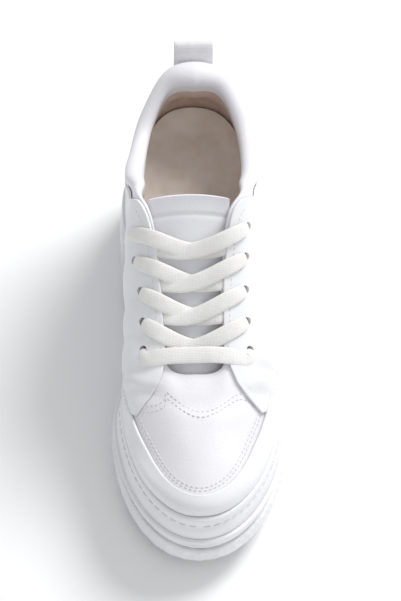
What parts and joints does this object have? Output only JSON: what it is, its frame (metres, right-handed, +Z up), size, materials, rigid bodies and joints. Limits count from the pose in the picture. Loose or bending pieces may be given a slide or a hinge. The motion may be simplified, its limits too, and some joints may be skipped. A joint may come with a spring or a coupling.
{
  "type": "hidden wedge sneaker",
  "caption": "Left low lace-up platform sneaker with a hidden inner wedge, padded collar, laced throat, toe and heel rubber wraps and a pull loop at the heel.",
  "frame": {"origin": "middle of the shoe's box, on the floor that the sole stands on", "axes": "+Z up, -Y from heel to toe, +X to the outer (lateral) side"},
  "size_m": [0.0949, 0.271, 0.146],
  "materials": {
    "outsole": "white moulded rubber",
    "midsole": "white foam",
    "rand": "white stitched cup band",
    "insole": "cream lining",
    "upper": "white soft leather",
    "panel": "white leather",
    "tongue": "white soft leather",
    "lace": "flat white cotton",
    "loop": "white strap"
  },
  "bodies": {
    "root": {"outsole": "outsole", "midsole": "midsole", "rand": "rand", "insole": "insole", "upper": "upper", "mudguard": "panel", "heel_counter": "panel", "quarter_lateral": "panel", "quarter_medial": "panel", "tongue": "tongue", "lace_bar": "lace", "lace_cross_1": "lace", "lace_cross_2": "lace", "lace_cross_3": "lace", "lace_cross_4": "lace", "pull_loop": "loop"}
  },
  "joints": []
}
